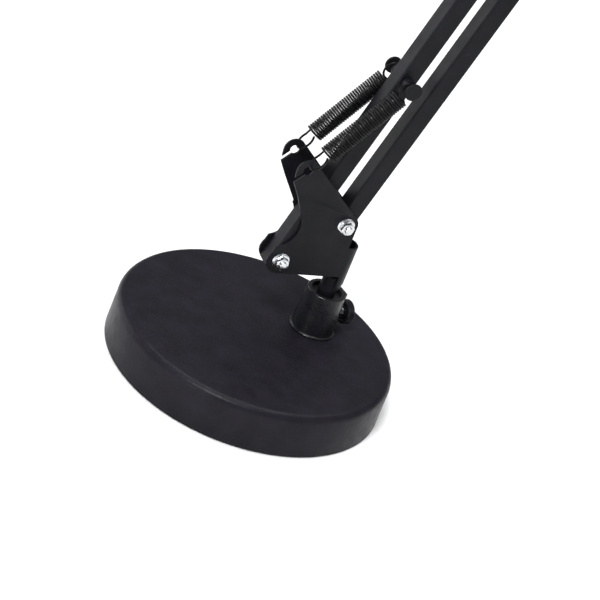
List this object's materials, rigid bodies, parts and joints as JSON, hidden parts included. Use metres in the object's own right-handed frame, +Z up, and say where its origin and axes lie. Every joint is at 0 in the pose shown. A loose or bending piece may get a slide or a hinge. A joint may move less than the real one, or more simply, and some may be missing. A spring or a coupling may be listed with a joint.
{
  "type": "architect desk lamp",
  "caption": "Swing-arm desk lamp: weighted round base, folded swivel bracket, sprung parallel arms that keep the elbow level, and a tilting conical shade.",
  "frame": {"origin": "middle of the round base, on the table top", "axes": "+Z up; the arms lie in a plane parallel to XZ, the head reaches out along -X and the post stands towards +X"},
  "size_m": [0.4523, 0.19, 0.6555],
  "materials": {
    "black_steel": "satin black powder coat",
    "black_spring": "black coated spring wire",
    "iron": "raw cast iron",
    "board": "hard fibreboard",
    "pad": "soft black foam",
    "black_plastic": "black moulded plastic",
    "zinc": "bright zinc plate",
    "brass": "plain brass",
    "glass": "frosted glass"
  },
  "bodies": {
    "base": {"base_cover": "black_steel", "base_weight": "iron", "base_board": "board", "base_pad": "pad", "post_socket": "black_steel", "post_screw": "zinc", "post_washer": "zinc"},
    "thumb_screw": {"thumb_knob": "black_plastic", "thumb_stud": "zinc"},
    "bracket": {"swivel_bracket": "black_steel", "lower_pivot_bolts": "zinc", "lower_pivot_nuts": "zinc", "lower_pivot_sleeves": "zinc"},
    "lower_rear": {"lower_rear_bar": "black_steel", "lower_spring_pin": "black_steel", "lower_spring_near": "black_spring", "lower_spring_far": "black_spring"},
    "lower_front": {"lower_front_bar": "black_steel"},
    "elbow": {"elbow_plate_near": "black_steel", "elbow_plate_far": "black_steel", "elbow_bolts": "zinc", "elbow_nuts": "zinc", "elbow_sleeves": "zinc"},
    "upper_top": {"upper_top_bar": "black_steel", "upper_spring_pin": "black_steel", "upper_spring_near": "black_spring", "upper_spring_far": "black_spring"},
    "upper_lower": {"upper_lower_bar": "black_steel"},
    "head": {"head_plate_near": "black_steel", "head_plate_far": "black_steel", "head_bolts": "zinc", "head_nuts": "zinc", "head_sleeves": "zinc", "tilt_bolt": "zinc", "tilt_washer": "zinc"},
    "tilt_grip": {"tilt_knob": "black_plastic"},
    "shade_head": {"shade_arm": "black_steel", "shade_screws": "zinc", "shade": "black_steel", "lampholder_body": "black_plastic", "lampholder_shell": "brass", "lampholder_contact": "brass", "lampholder_ring": "black_plastic", "bulb_glass": "glass", "bulb_cap": "zinc", "switch_body": "black_plastic", "cord_gland": "black_plastic"},
    "switch": {"switch_knob": "black_plastic"}
  },
  "joints": [
    {"name": "thumb_screw_turn", "type": "hinge", "parent": "base", "child": "thumb_screw", "pos_m": [0.042, 0.008, 0.0437], "axis": [0.9848, 0.1736, 0], "range_deg": [0, 720]},
    {"name": "base_swivel", "type": "hinge", "parent": "base", "child": "bracket", "pos_m": [0.042, 0.008, 0.0307], "axis": [0, 0, 1], "continuous": true},
    {"name": "lower_arm", "type": "hinge", "parent": "bracket", "child": "lower_rear", "pos_m": [-0.0035, 0.008, 0.0839], "axis": [0, -1, 0], "range_deg": [-16, 45], "deforming": ["lower_spring_near", "lower_spring_far"]},
    {"name": "lower_front_hinge", "type": "hinge", "parent": "bracket", "child": "lower_front", "pos_m": [0.0316, 0.008, 0.1155], "axis": [0, -1, 0], "range_deg": [-16, 45]},
    {"name": "elbow_hinge", "type": "hinge", "parent": "lower_rear", "child": "elbow", "pos_m": [0.08696, 0.008, 0.41683], "axis": [0, -1, 0], "range_deg": [-45, 16]},
    {"name": "upper_arm", "type": "hinge", "parent": "elbow", "child": "upper_top", "pos_m": [0.10096, 0.008, 0.48123], "axis": [0, -1, 0], "range_deg": [-22, 45], "deforming": ["upper_spring_near", "upper_spring_far"]},
    {"name": "upper_lower_hinge", "type": "hinge", "parent": "elbow", "child": "upper_lower", "pos_m": [0.08896, 0.008, 0.45483], "axis": [0, -1, 0], "range_deg": [-22, 45]},
    {"name": "head_hinge", "type": "hinge", "parent": "upper_top", "child": "head", "pos_m": [-0.18483, 0.008, 0.64623], "axis": [0, -1, 0], "range_deg": [-45, 22]},
    {"name": "shade_tilt", "type": "hinge", "parent": "head", "child": "shade_head", "pos_m": [-0.23683, 0.008, 0.60783], "axis": [0, 1, 0], "range_deg": [-10, 75]},
    {"name": "tilt_knob_turn", "type": "hinge", "parent": "head", "child": "tilt_grip", "pos_m": [-0.23683, 0.008, 0.60783], "axis": [0, -1, 0], "range_deg": [0, 720]},
    {"name": "switch_turn", "type": "hinge", "parent": "shade_head", "child": "switch", "pos_m": [-0.23683, 0.008, 0.55983], "axis": [-1, 0, 0], "range_deg": [0, 90]}
  ],
  "couplings": [
    {"joint": "lower_front_hinge", "follows": "lower_arm", "ratio": 1},
    {"joint": "elbow_hinge", "follows": "lower_arm", "ratio": -1},
    {"joint": "upper_lower_hinge", "follows": "upper_arm", "ratio": 1},
    {"joint": "head_hinge", "follows": "upper_arm", "ratio": -1}
  ]
}
